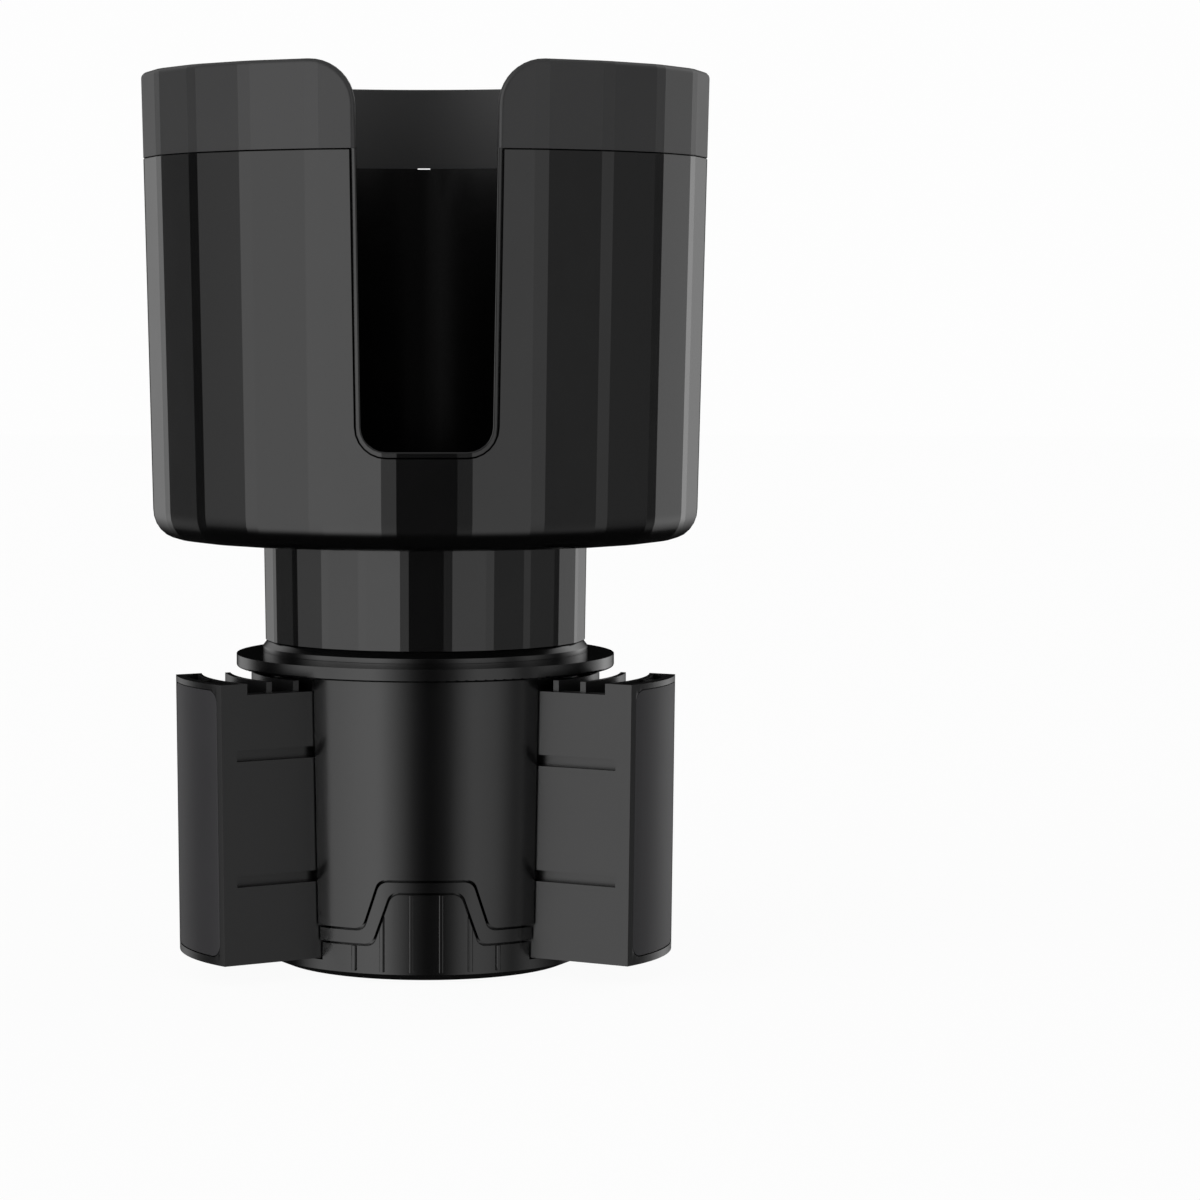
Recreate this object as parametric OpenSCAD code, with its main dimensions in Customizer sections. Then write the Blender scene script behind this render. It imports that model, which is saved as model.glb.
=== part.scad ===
// Cup holder expander for a car, in millimetres, with +Z up.
// The origin is the centre of the underside, on the axis of the cup, and the slot of the cup faces -Y.
// It is drawn with its three wings slid out. Turning the cup by cup_turn draws them in.

/* [Facets] */
// Number of flats around the cup and the neck
facet_count = 24; // [16:1:32]
// Share of each facet that is flat, the rest is the narrow strip at its corner
flat_share = 0.8; // [0.6:0.05:0.9]

/* [Cup] */
// Distance from the axis to a flat at the rim
rim_flat_r = 52.6; // [51:0.1:58]
// How much nearer the axis the flats are just above the rounded bottom edge
cup_narrowing = 2; // [0.5:0.1:5]
// Height of the cup from its underside to the rim
cup_h = 86.1; // [80:0.1:110]
// Height of the rounded bottom edge
cup_edge_h = 5.5; // [3:0.1:8]
// Width of the rounded bottom edge
cup_edge_w = 4.7; // [3:0.1:7]
// Thickness of the cup's wall behind its flats
cup_wall = 2.6; // [2:0.1:3.4]
// Thickness of the cup's floor
cup_floor_t = 2.6; // [2:0.1:4]
// Radius between the wall and the floor inside the cup
cup_corner_r = 3; // [1:0.1:5]

/* [Slot] */
// Clear width of the slot where it meets the soft band
slot_top_w = 24.6; // [18:0.1:30]
// Clear width of the slot at its lower end
slot_low_w = 22.9; // [16:0.1:28]
// Height of the slot's lower end above the cup's underside
slot_sill_h = 16.6; // [12:0.1:40]
// Radius of the slot's lower corners
slot_corner_r = 4.4; // [2:0.1:8]
// Width of the sunk edge around the slot
slot_lip_w = 1.2; // [0.6:0.1:2]
// Depth of the sunk edge around the slot
slot_lip_depth = 0.6; // [0.3:0.1:1]

/* [Soft band] */
// Height of the soft band on top of the cup
band_h = 15.7; // [12:0.1:20]
// Thickness of the band at the rim
band_t = 3.1; // [2.8:0.1:4]
// Radius of the two upper corners of the band beside the slot
band_corner_r = 8.2; // [5:0.1:11]
// Rounding of the rim
rim_round = 1.1; // [0.4:0.1:1.3]
// Depth of the V line between band and cup
seam_v = 0.25; // [0.1:0.05:0.5]
// Height of the tongue of the cup that the band is pushed onto
tongue_h = 5; // [3:0.1:8]
// Thickness of that tongue
tongue_t = 0.9; // [0.6:0.1:1.2]
// Width of the small notch between band and cup at the back
seam_notch_w = 2.5; // [1:0.1:5]
// Height of that notch
seam_notch_h = 0.3; // [0.2:0.1:1]

/* [Tabs] */
// Width of a tab where it leaves the band
tab_root_w = 24.6; // [16:0.1:30]
// Width of a tab at its tip
tab_tip_w = 10; // [6:0.1:16]
// How far a tab reaches in from the band
tab_reach = 14; // [8:0.1:18]
// Angle at which a tab slopes down
tab_slope = 32; // [15:1:40]
// Thickness of a tab
tab_t = 1.5; // [1:0.1:2]
// Radius of a tab's two corners
tab_corner_r = 2; // [0.5:0.1:3]
// Height of a tab's root below the rim
tab_drop = 6.5; // [5:0.1:9]

/* [Floor mat] */
// Thickness of the mat
mat_t = 1.8; // [1:0.1:3]
// Height of the raised edge above the mat
mat_edge_h = 1.1; // [0.5:0.1:2]
// Width of the raised edge
mat_edge_w = 1.8; // [1:0.1:3]

/* [Neck] */
// Height of the neck
neck_h = 19.05; // [12:0.05:40]
// Distance from the axis to a flat at the top of the neck
neck_top_flat_r = 30.1; // [29:0.1:32]
// Distance from the axis to a flat at the bottom of the neck
neck_low_flat_r = 29.8; // [29:0.1:31]
// Inner radius of the neck
neck_bore_r = 27.1; // [26:0.1:28]

/* [Base] */
// Height from the ground to the underside of the flange
base_h = 55.1; // [45:0.1:80]
// Radius of the core at its top
core_top_r = 32.45; // [31.5:0.05:34]
// Angle by which the core narrows downwards
core_draft = 1.07; // [0:0.01:1.2]
// Thickness of the core's wall at its top
core_wall_t = 4.25; // [3.9:0.05:4.6]
// Thickness of the guide walls inside the core
guide_t = 1.6; // [1.2:0.1:2]
// How far the flange stands out beyond the core
flange_out = 2.9; // [1:0.1:5]
// Thickness of the flange
flange_t = 2.4; // [1.5:0.1:3]
// Rounding of the flange's lower edge
flange_round = 0.5; // [0.3:0.1:0.9]

/* [Collar] */
// Radius of the collar
collar_r = 30.4; // [30.2:0.1:32]
// Height of the ring between the flange and the collar cap
collar_ring_h = 0.5; // [0.4:0.1:2]
// Height of the collar cap
collar_h = 2.1; // [1.8:0.1:4]
// Radius of the collar cap at its top
collar_top_r = 29.5; // [28.8:0.1:30]
// Height of the collar cap's sloping edge
collar_slope_h = 1.2; // [0.5:0.1:1.6]
// Thickness of the collar's wall around the drive disc
collar_wall = 1; // [0.8:0.1:1.4]

/* [Bottom cap] */
// How far the bottom cap lies behind the core
cap_set_in = 0.65; // [0.5:0.05:1]
// Width of the chamfer around its underside
cap_chamfer_w = 3.6; // [2:0.1:5]
// Height of the chamfer
cap_chamfer_h = 1.5; // [0.8:0.1:2.5]
// Height of the cap's edge under the wings
sill_z = 3.6; // [3.4:0.1:3.8]
// Top of the cap's floor
cap_floor_z = 3.3; // [3.1:0.1:3.5]
// Width of the upright ribs
rib_w = 0.85; // [0.5:0.05:1.5]
// How far the ribs stand out
rib_out = 0.45; // [0.1:0.05:0.6]
// Distance from the chamfer to the ribs' lower ends
rib_set_up = 0.45; // [0.3:0.05:2]
// Angle from one rib to the next
rib_pitch = 10; // [8:0.5:12]
// Number of ribs in each panel
rib_count = 6; // [2:2:6]

/* [Wavy strip] */
// Height of the strip's upper line beside the wave
wave_top_low = 10.1; // [8.5:0.1:12]
// Height of the strip's upper line in the middle
wave_top_high = 19.1; // [16:0.1:24]
// Half the length of the upper line's high part
wave_top_half = 8.7; // [6:0.1:9]
// Distance from the middle to the foot of the upper line's slope
wave_top_foot = 11.6; // [10.5:0.05:14]
// Height of the strip's lower line beside the wave
wave_low_low = 6.8; // [5:0.05:8]
// Height of the strip's lower line in the middle
wave_low_high = 16.3; // [13:0.1:16.5]
// Half the length of the lower line's high part
wave_low_half = 6.2; // [4:0.1:7]
// Distance from the middle to the foot of the lower line's slope
wave_low_foot = 9.5; // [8.5:0.1:10.2]
// Rounding of the wave's corners
wave_round = 1.9; // [0.5:0.1:2]
// How far the strip lies below the surface of the core
strip_sink = 0.35; // [0.1:0.05:0.6]
// Gap along both edges of the strip
strip_gap = 0.5; // [0.1:0.05:0.6]

/* [Foot] */
// Radius of the rubber foot
foot_r = 24; // [22.5:0.1:26]
// Thickness of the rubber foot
foot_t = 1.1; // [0.8:0.1:1.5]
// How far the foot stands out of the cap
foot_proud = 0.3; // [0.1:0.05:0.6]

/* [Wings] */
// Half the width of a wing
wing_half = 11.3; // [10:0.1:11.5]
// Distance from the axis to the crown of a wing's outer face, slid out
wing_out_r = 49.9; // [48.5:0.1:52]
// Distance from the axis to a wing's inner end, slid out
wing_in_r = 22; // [21.8:0.1:23]
// Radius of the outer face
wing_face_r = 33; // [30:0.5:45]
// How far the faces of the two front wings lean to the front
wing_face_lean = 3.2; // [0:0.1:4]
// Angle by which the outer face draws in downwards
wing_draft = 0.75; // [0:0.05:1]
// Height of a wing's underside
wing_low_z = 3.9; // [3.8:0.1:5]
// Gap between the top of a wing and the flange
wing_top_gap = 0.5; // [0.4:0.1:2]
// How far the side walls stop below the top
wing_side_drop = 2; // [1:0.1:4]
// Thickness of the side walls
wing_wall = 3.1; // [2.4:0.1:3.3]
// Thickness of a wing's floor and inner end
wing_skin = 1.4; // [1:0.1:2]
// Distance from the axis to the crown of the outer block's inner face
wing_block_r = 44.6; // [43.8:0.1:45.2]
// Distance from the axis to the crown of the first cross wall, slid out
web_1_r = 30.2; // [29:0.1:32]
// Distance from the axis to the crown of the second cross wall
web_2_r = 34.3; // [33.5:0.1:37]
// Distance from the axis to the crown of the third cross wall
web_3_r = 39.8; // [38.5:0.1:41]
// Thickness of the cross walls
web_t = 1.1; // [0.8:0.1:1.6]
// How far the ends of the cross walls lie behind a wing's sides
web_set_back = 1.2; // [0.5:0.1:2]
// Depth of the pocket in the top of the outer block
top_pocket_depth = 2.4; // [0.6:0.1:3]
// Width of the rim around that pocket
top_pocket_rim = 0.9; // [0.8:0.1:1.3]
// Thickness of the rib across that pocket
top_rib_t = 0.8; // [0.6:0.1:1.2]

/* [Wing guides] */
// Height of the grooves
groove_h = 2.05; // [1.8:0.05:3]
// Depth of the grooves
groove_depth = 1.6; // [1:0.1:1.6]
// Distance from the axis to the outer end of the grooves, slid out
groove_end_r = 45.7; // [45:0.1:45.9]
// Bottom of the lower grooves
groove_low_z = 17.95; // [12:0.05:25]
// Bottom of the upper groove in a wing's left side, seen from the axis
groove_left_z = 40.6; // [30:0.05:46]
// Bottom of the upper groove in its right side
groove_right_z = 39; // [30:0.05:46]
// Gap between a rail and its groove
rail_gap = 0.3; // [0.2:0.05:0.4]
// Gap between a wing and its guide walls
guide_gap = 0.4; // [0.3:0.05:0.6]

/* [Pads] */
// Frame left beside a pad
pad_side_margin = 1.25; // [0.8:0.05:2]
// Frame left above a pad
pad_top_margin = 1; // [0.8:0.05:3]
// Frame left below a pad
pad_low_margin = 1.35; // [1:0.05:3]
// Thickness of a pad
pad_t = 0.9; // [0.6:0.1:1]
// Rounding of a pad's corners
pad_corner_r = 2.3; // [1:0.1:4]
// Gap around a pad
pad_gap = 0.15; // [0.05:0.05:0.3]

/* [Cam drive] */
// Angle through which the cup turns to draw the wings in
cup_turn = 150; // [120:5:165]
// How far each wing slides
wing_travel = 15; // [10:0.5:15]
// Distance from the axis to a cam pin, slid out
pin_out_r = 24.5; // [24.4:0.1:25.4]
// Radius of a cam pin
pin_r = 1.5; // [1.2:0.1:1.7]
// Length of a cam pin
pin_l = 17; // [12:0.5:25]
// Radius of the boss that holds a cam pin
pin_boss_r = 3; // [2.6:0.1:3.2]
// Gap between a cam pin and its slot
cam_gap = 0.25; // [0.15:0.05:0.3]
// Radius of the drive disc
disc_r = 27.9; // [27.6:0.1:28]
// Thickness of the drive disc
disc_t = 1.6; // [1.2:0.1:1.7]
// Width of the hub's square end
hub_square_w = 9; // [8:0.1:9]
// Radius of the hub's round bearing
hub_r = 7.9; // [7.5:0.1:9]
// Thickness of the hub's plate
hub_plate_t = 2.5; // [2:0.1:4]
// Length of the hub's sleeve above the plate
hub_sleeve_h = 7; // [4:0.5:12]
// Radius of that sleeve
hub_sleeve_r = 5; // [4:0.1:7]
// Thickness of the glide washer
glide_t = 0.7; // [0.5:0.1:1.5]
// Outer radius of the glide washer
glide_r = 24; // [18:0.5:26]

/* [Fasteners] */
// Radius of a screw's shank
screw_r = 1.4; // [1.2:0.05:1.5]
// Radius of a screw's head
screw_head_r = 2.6; // [2.2:0.1:3]
// Height of a screw's head
screw_head_h = 1.5; // [1.2:0.1:1.7]
// Length of the screws' shanks
screw_l = 10; // [6:0.5:12]
// Radius of the washer under the drive disc
lock_washer_r = 7.2; // [6.8:0.1:7.6]
// Thickness of that washer
lock_washer_t = 0.8; // [0.5:0.1:0.9]

/* [Hidden] */
$fn = 96;

black = [0.055, 0.055, 0.06];
soft_black = [0.17, 0.17, 0.175];
rubber_black = [0.11, 0.11, 0.115];
steel = [0.62, 0.63, 0.65];
nylon = [0.82, 0.81, 0.77];

// Directions around the axis
front_dir = 270;
left_dir = front_dir - 60;
right_dir = front_dir + 60;
back_dir = front_dir + 180;
wing_dirs = [left_dir, right_dir, back_dir];
panel_dirs = [for (dir = wing_dirs) dir + 180];

// Gaps and overlaps
eps = 0.01;
weld = 0.3;
boss_weld = 0.2;
boss_step = 0.5;
far = 100;
turn_gap = 0.15;
fit_gap = 0.08;
seat_gap = 0.05;
screw_gap = 0.05;
washer_gap = 0.1;
disc_gap = 0.4;
mat_gap = 0.4;
head_gap = 0.2;
bearing_gap = 1.5;
over = 1;
deep = 300;

// Heights, from the ground up
wing_top_z = base_h - wing_top_gap;
flange_top_z = base_h + flange_t;
ring_top_z = flange_top_z + collar_ring_h;
disc_z = ring_top_z - disc_gap - disc_t;
collar_top_z = ring_top_z + collar_h;
neck_z = collar_top_z + turn_gap;
plate_z = collar_top_z + glide_t + washer_gap;
plate_top_z = plate_z + hub_plate_t;
cup_z = neck_z + neck_h;
floor_z = cup_z + cup_floor_t;
edge_z = cup_z + cup_edge_h;
rim_z = cup_z + cup_h;
seam_z = rim_z - band_h;
slot_sill_z = cup_z + slot_sill_h;
tab_z = rim_z - tab_drop;

// Thin walls and lengths that hang on no other size
skirt_t = 1.1;
screw_web_t = 1.6;
boss_end_t = 2;
rail_set_back = 6;

// Radii
cup_low_flat_r = rim_flat_r - cup_narrowing;
core_bore_r = core_top_r - core_wall_t;
flange_r = core_top_r + flange_out;
cap_r = core_r(0) - cap_set_in;
cap_foot_r = cap_r - cap_chamfer_w;
pocket_r = collar_r - collar_wall;
skirt_r = core_bore_r + skirt_t;
band_inner_r = rim_flat_r - band_t;
tongue_r = (band_inner_r + cup_flat_r(seam_z) - tongue_t) / 2;
mat_r = cup_inner_r(floor_z + cup_corner_r) - mat_gap;
window_half = wing_half + guide_gap;
rail_end_r = sqrt(pow(core_r(groove_low_z), 2) - pow(window_half, 2)) - weld;
rail_start_r = wing_in_r - wing_travel + rail_set_back;

// Screws and their bosses
base_boss_r = 3.6;
base_screw_r = (window_half + guide_t + base_boss_r - boss_weld) / sin(60);
neck_boss_r = 3.3;
neck_screw_r = neck_bore_r + boss_weld - neck_boss_r;
cap_boss_r = base_boss_r - boss_step;
cap_head_z = foot_t + head_gap + screw_head_h;
cap_boss_z = cap_head_z + screw_web_t;

function cup_flat_r(z) = cup_low_flat_r + (rim_flat_r - cup_low_flat_r) * (z - edge_z) / (rim_z - edge_z);
function cup_inner_r(z) = cup_flat_r(z) - cup_wall;
function core_r(z) = core_top_r - (base_h - z) * tan(core_draft);
function reversed(list) = [for (i = [len(list) - 1:-1:0]) list[i]];

// Corners of one level of the faceted form
function facet_level(flat_r, z) =
    let (half = 180 / facet_count * flat_share, r = flat_r / cos(half))
    [for (k = [0:facet_count - 1], side = [-1, 1])
        let (a = front_dir + 360 / facet_count * k + side * half)
        [r * cos(a), r * sin(a), z]];

// Solid with flat facets through levels given as [distance to a flat, height]
module facet_loft(levels) {
    n = 2 * facet_count;
    top = n * (len(levels) - 1);
    points = [for (level = levels) each facet_level(level[0], level[1])];
    lower = [for (j = [0:n - 1]) j];
    upper = [for (j = [n - 1:-1:0]) top + j];
    sides = [for (i = [0:len(levels) - 2], j = [0:n - 1])
        [i * n + j, (i + 1) * n + j, (i + 1) * n + (j + 1) % n, i * n + (j + 1) % n]];
    polyhedron(points, concat([lower], sides, [upper]));
}

// Levels of the cup's outside, moved in by inset, from the rounded edge to a height top
function cup_levels(inset, top) = concat(
    [for (a = [0:15:90]) [
        cup_low_flat_r - cup_edge_w * (1 - sin(a)) - inset,
        cup_z + cup_edge_h * (1 - cos(a))]],
    [[cup_flat_r(top) - inset, top]]
);

// Arc that rounds corner p between a and b, seen as a row of points
function round_corner(a, p, b, r, steps = 6) =
    let (
        u = (a - p) / norm(a - p),
        v = (b - p) / norm(b - p),
        half = acos(u * v) / 2,
        middle = (u + v) / norm(u + v),
        centre = p + middle * r / sin(half),
        start = p + u * r / tan(half) - centre,
        end = p + v * r / tan(half) - centre,
        turn = atan2(start[0] * end[1] - start[1] * end[0], start * end)
    )
    [for (i = [0:steps]) let (t = turn * i / steps)
        centre + [start[0] * cos(t) - start[1] * sin(t), start[0] * sin(t) + start[1] * cos(t)]];

// Clear outline of the slot, grown by extra, upright in the plane of its width and height
module slot_outline(extra) {
    top_z = rim_z + eps;
    low_half = slot_low_w / 2 + extra;
    top_half = slot_top_w / 2 + extra + (slot_top_w - slot_low_w) / 2 * band_h / (seam_z - slot_sill_z);
    low_z = slot_sill_z - extra;
    left = round_corner([-top_half, top_z], [-low_half, low_z], [0, low_z], slot_corner_r + extra);
    right = round_corner([0, low_z], [low_half, low_z], [top_half, top_z], slot_corner_r + extra);
    polygon(concat([[-top_half, top_z]], left, right, [[top_half, top_z]]));
}

// Cutter for the slot, through the front wall only
module slot_cut(extra) {
    translate([0, -far, 0]) rotate([90, 0, 0]) mirror([0, 0, 1]) linear_extrude(far) slot_outline(extra);
}

// Plan of the core left between the wings' channels of a given half width
module panel_plan(half, r) {
    difference() {
        circle(r);
        for (dir = wing_dirs) {
            rotate(dir) translate([0, -half]) square([far, 2 * half]);
        }
    }
}

// Area under a wavy line, in the plane of a panel's width and height
module under_wave(low, high, half, foot, shift) {
    turn = atan2(high - low, foot - half) / 2;
    side = shift * tan(turn);
    edge = [far, low + shift];
    toe = [foot + side, low + shift];
    shoulder = [half + side, high + shift];
    right = concat(
        round_corner([0, high + shift], shoulder, toe, wave_round),
        round_corner(shoulder, toe, edge, wave_round),
        [edge]
    );
    left = [for (p = reversed(right)) [-p[0], p[1]]];
    polygon(concat(left, right, [[far, -far], [-far, -far]]));
}

// Block that stands on a panel's outside, under a wavy line
module wave_block(low, high, half, foot, shift) {
    translate([core_bore_r / 2, 0, 0]) rotate([90, 0, 90]) linear_extrude(far) {
        under_wave(low, high, half, foot, shift);
    }
}

module under_top_wave(shift) {
    wave_block(wave_top_low, wave_top_high, wave_top_half, wave_top_foot, shift);
}

module under_low_wave(shift) {
    wave_block(wave_low_low, wave_low_high, wave_low_half, wave_low_foot, shift);
}

// Everything outside radius r
module outside(r) {
    translate([0, 0, -far]) linear_extrude(deep) {
        difference() {
            circle(deep);
            circle(r);
        }
    }
}

// Cylinder or ring between two heights
module disc(r, z1, z2, hole = 0) {
    translate([0, 0, z1]) linear_extrude(z2 - z1) {
        difference() {
            circle(r);
            if (hole > 0) circle(hole);
        }
    }
}

module rounded_rect(w, h, r) {
    translate([-w / 2 + r, 0]) square([w - 2 * r, h]);
    translate([-w / 2, r]) square([w, h - 2 * r]);
    for (x = [-w / 2 + r, w / 2 - r], y = [r, h - r]) {
        translate([x, y]) circle(r);
    }
}

// Screw that points up, with its head's seat at z = 0
module screw() {
    disc(screw_r, -eps, screw_l);
    difference() {
        disc(screw_head_r, -screw_head_h, 0);
        translate([0, 0, -screw_head_h - eps]) {
            cylinder(r = screw_head_r / 2, h = screw_head_h / 2, $fn = 6);
        }
    }
}

/* Base */

// Core, flange and the ring on top of it, before the windows are cut
module core_form() {
    low_z = cap_floor_z;
    translate([0, 0, low_z]) {
        cylinder(r1 = core_r(low_z), r2 = core_top_r, h = base_h - low_z);
    }
    translate([0, 0, base_h]) rotate_extrude() {
        square([flange_r - flange_round, flange_t]);
        translate([0, flange_round]) square([flange_r, flange_t - flange_round]);
        translate([flange_r - flange_round, flange_round]) circle(flange_round);
    }
    disc(collar_r, base_h, ring_top_z);
}

module guide_walls() {
    translate([0, 0, cap_floor_z]) linear_extrude(base_h - cap_floor_z) {
        difference() {
            panel_plan(window_half, core_bore_r + weld);
            panel_plan(window_half + guide_t, far);
        }
    }
}

// Rails that the grooves of the wings run on
module rails() {
    rail_h = groove_h - 2 * rail_gap;
    tip = wing_half - groove_depth + rail_gap;
    for (dir = wing_dirs, side = [-1, 1]) {
        high_z = side > 0 ? groove_left_z : groove_right_z;
        for (z = [groove_low_z, high_z]) {
            rotate(dir) translate([rail_start_r, side > 0 ? tip : -window_half - weld, z + rail_gap]) {
                cube([rail_end_r - rail_start_r, window_half + weld - tip, rail_h]);
            }
        }
    }
}

// The same with its hollow and its windows
module core_wall() {
    difference() {
        core_form();
        disc(core_bore_r, -eps, base_h + eps);
        disc(pocket_r, base_h, ring_top_z + eps);
        for (dir = wing_dirs) {
            rotate(dir) translate([0, -window_half, -eps]) cube([far, 2 * window_half, base_h + eps]);
        }
    }
}

module base_shell() {
    color(black) {
        difference() {
            core_wall();
            for (dir = panel_dirs) {
                difference() {
                    rotate(dir) under_top_wave(0);
                    disc(skirt_r, -far, far);
                }
            }
        }
        guide_walls();
        rails();
        for (dir = panel_dirs) {
            rotate(dir) translate([base_screw_r, 0, 0]) base_boss();
        }
    }
}

// Boss in the angle of two guide walls, with the pilot hole of a screw
module base_boss() {
    difference() {
        disc(base_boss_r, cap_boss_z, cap_boss_z + screw_l + boss_end_t);
        disc(screw_r + screw_gap, -eps, cap_boss_z + screw_l);
    }
}

module collar_cap() {
    color(black) {
        rotate_extrude() {
            difference() {
                union() {
                    translate([0, ring_top_z]) square([collar_r, collar_h - collar_slope_h]);
                    polygon([
                        [0, collar_top_z - collar_slope_h],
                        [collar_r, collar_top_z - collar_slope_h],
                        [collar_top_r, collar_top_z],
                        [0, collar_top_z]
                    ]);
                }
                square([hub_r + fit_gap, deep]);
            }
            translate([pocket_r - fit_gap - collar_wall, disc_z]) {
                square([collar_wall, ring_top_z - disc_z + eps]);
            }
        }
    }
}

// Turned form of the bottom cap: floor, wall and chamfer
module cap_form() {
    rotate_extrude() {
        difference() {
            polygon([
                [0, foot_proud],
                [cap_foot_r, foot_proud],
                [cap_r, foot_proud + cap_chamfer_h],
                [cap_r, base_h / 2],
                [0, base_h / 2]
            ]);
            translate([0, cap_floor_z]) square([skirt_r + seat_gap, base_h]);
            square([foot_r + pad_gap, foot_t]);
        }
    }
}

module cap_ribs() {
    for (i = [0:rib_count - 1]) {
        rotate((i - (rib_count - 1) / 2) * rib_pitch) {
            translate([cap_r - weld, -rib_w / 2, foot_proud + cap_chamfer_h + rib_set_up]) {
                cube([weld + rib_out, rib_w, base_h / 2]);
            }
        }
    }
}

module bottom_cap() {
    color(black) difference() {
        union() {
            intersection() {
                cap_form();
                union() {
                    disc(cap_r, 0, sill_z);
                    for (dir = panel_dirs) {
                        intersection() {
                            rotate(dir) under_low_wave(0);
                            linear_extrude(base_h) panel_plan(window_half, cap_r + eps);
                        }
                    }
                }
            }
            for (dir = panel_dirs) {
                intersection() {
                    rotate(dir) under_low_wave(0);
                    rotate(dir) cap_ribs();
                }
                rotate(dir) translate([base_screw_r, 0, 0]) disc(cap_boss_r, cap_floor_z - eps, cap_boss_z);
            }
        }
        for (dir = panel_dirs) {
            rotate(dir) translate([base_screw_r, 0, 0]) {
                disc(screw_head_r + head_gap, -eps, cap_head_z);
                disc(screw_r + head_gap, -eps, far);
            }
        }
    }
}

module wave_trim(dir) {
    color(black) difference() {
        intersection() {
            rotate(dir) under_top_wave(-strip_gap);
            cylinder(r1 = core_r(0) - strip_sink, r2 = core_top_r - strip_sink, h = base_h);
            linear_extrude(base_h) panel_plan(window_half, far);
        }
        disc(skirt_r + seat_gap, -eps, base_h);
        rotate(dir) under_low_wave(strip_gap);
    }
}

module foot_pad() {
    color(rubber_black) disc(foot_r, 0, foot_t);
}

module base_screws() {
    color(steel) for (dir = panel_dirs) {
        rotate(dir) translate([base_screw_r, 0, cap_head_z]) screw();
    }
}

module glide_washer() {
    color(nylon) disc(glide_r, collar_top_z, collar_top_z + glide_t, hub_r + bearing_gap);
}

/* Cup */

module cup_form() {
    v_z = seam_z - seam_v;
    facet_loft(concat(
        [[neck_low_flat_r, neck_z], [neck_top_flat_r, cup_z]],
        cup_levels(0, v_z),
        [[cup_flat_r(seam_z) - seam_v, seam_z]]
    ));
}

// Inside of the cup, rounded where the wall meets the floor
module cup_hollow() {
    r_low = cup_inner_r(floor_z);
    r_top = cup_inner_r(rim_z);
    corner = round_corner([0, floor_z], [r_low, floor_z], [r_top, rim_z], cup_corner_r);
    rotate_extrude() {
        polygon(concat([[0, floor_z]], corner, [[r_top, rim_z], [0, rim_z]]));
    }
}

// Sunk edge around the slot, the same depth on every facet
module slot_lip() {
    difference() {
        slot_cut(slot_lip_w);
        facet_loft(concat(
            [[neck_top_flat_r, neck_z], [cup_low_flat_r - cup_edge_w, cup_z]],
            cup_levels(slot_lip_depth, rim_z + over)
        ));
        translate([-far, -far, seam_z + seam_v]) cube([2 * far, 2 * far, far]);
    }
}

module seam_notch() {
    translate([-seam_notch_w / 2, 0, seam_z - seam_notch_h / 2]) cube([seam_notch_w, far, seam_notch_h]);
}

module neck_bosses() {
    for (dir = panel_dirs) {
        rotate(dir) translate([neck_screw_r, 0, 0]) difference() {
            disc(neck_boss_r, plate_top_z, cup_z + eps);
            disc(screw_r + screw_gap, plate_top_z - eps, plate_top_z + screw_l);
        }
    }
}

module cup_body() {
    color(black) difference() {
        union() {
            difference() {
                cup_form();
                cup_hollow();
                disc(neck_bore_r, neck_z - eps, cup_z);
                slot_lip();
            }
            disc(tongue_r + tongue_t, seam_z - eps, seam_z + tongue_h, tongue_r);
            neck_bosses();
        }
        slot_cut(0);
        seam_notch();
    }
}

// Two upper corners beside the slot, rounded outwards
module band_corner_cut() {
    half = slot_top_w / 2;
    translate([0, -far, 0]) rotate([90, 0, 0]) mirror([0, 0, 1]) linear_extrude(far) {
        difference() {
            translate([-half - band_corner_r, rim_z - band_corner_r]) {
                square([2 * (half + band_corner_r), band_corner_r + over]);
            }
            for (side = [-1, 1]) {
                translate([side * (half + band_corner_r), rim_z - band_corner_r]) circle(band_corner_r);
            }
        }
    }
}

module tab(dir) {
    slope_l = tab_reach / cos(tab_slope);
    slant = (tab_root_w - tab_tip_w) / 2 / slope_l;
    embed = 2 * band_t;
    root = [-embed, tab_root_w / 2 + slant * embed];
    tip = round_corner([slope_l, 0], [slope_l, tab_tip_w / 2], root, tab_corner_r);
    half = concat(tip, [root]);
    intersection() {
        rotate(dir) translate([band_inner_r, 0, tab_z]) rotate([0, -tab_slope, 0]) mirror([1, 0, 0]) {
            linear_extrude(tab_t) {
                polygon(concat(half, [for (p = reversed(half)) [p[0], -p[1]]]));
            }
        }
        disc(band_inner_r + band_t / 4, seam_z - far, rim_z);
    }
}

// Room in the band for the tongue of the cup
module tongue_groove() {
    disc(tongue_r + tongue_t + fit_gap, seam_z - eps, seam_z + tongue_h + fit_gap, tongue_r - fit_gap);
}

module rim_ring() {
    color(soft_black) {
        difference() {
            facet_loft(concat(
                [[cup_flat_r(seam_z) - seam_v, seam_z], [cup_flat_r(seam_z + seam_v), seam_z + seam_v]],
                [for (a = [0:30:90]) [
                    rim_flat_r - rim_round * (1 - cos(a)),
                    rim_z - rim_round * (1 - sin(a))]]
            ));
            disc(band_inner_r, seam_z - eps, rim_z + eps);
            tongue_groove();
            slot_cut(0);
            band_corner_cut();
            seam_notch();
        }
        for (turn = [45, 135, 225, 315]) {
            tab(front_dir + turn);
        }
    }
}

module floor_mat() {
    top_z = floor_z + mat_t;
    edge_top_z = top_z + mat_edge_h;
    inner_r = mat_r - mat_edge_w;
    corner = round_corner([0, floor_z], [mat_r, floor_z], [mat_r, rim_z], cup_corner_r);
    color(rubber_black) intersection() {
        rotate_extrude() {
            polygon(concat(
                [[0, floor_z]],
                corner,
                [[mat_r, rim_z], [inner_r, rim_z], [inner_r, top_z], [0, top_z]]
            ));
        }
        disc(mat_r + over, floor_z - over, edge_top_z);
    }
}

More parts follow.
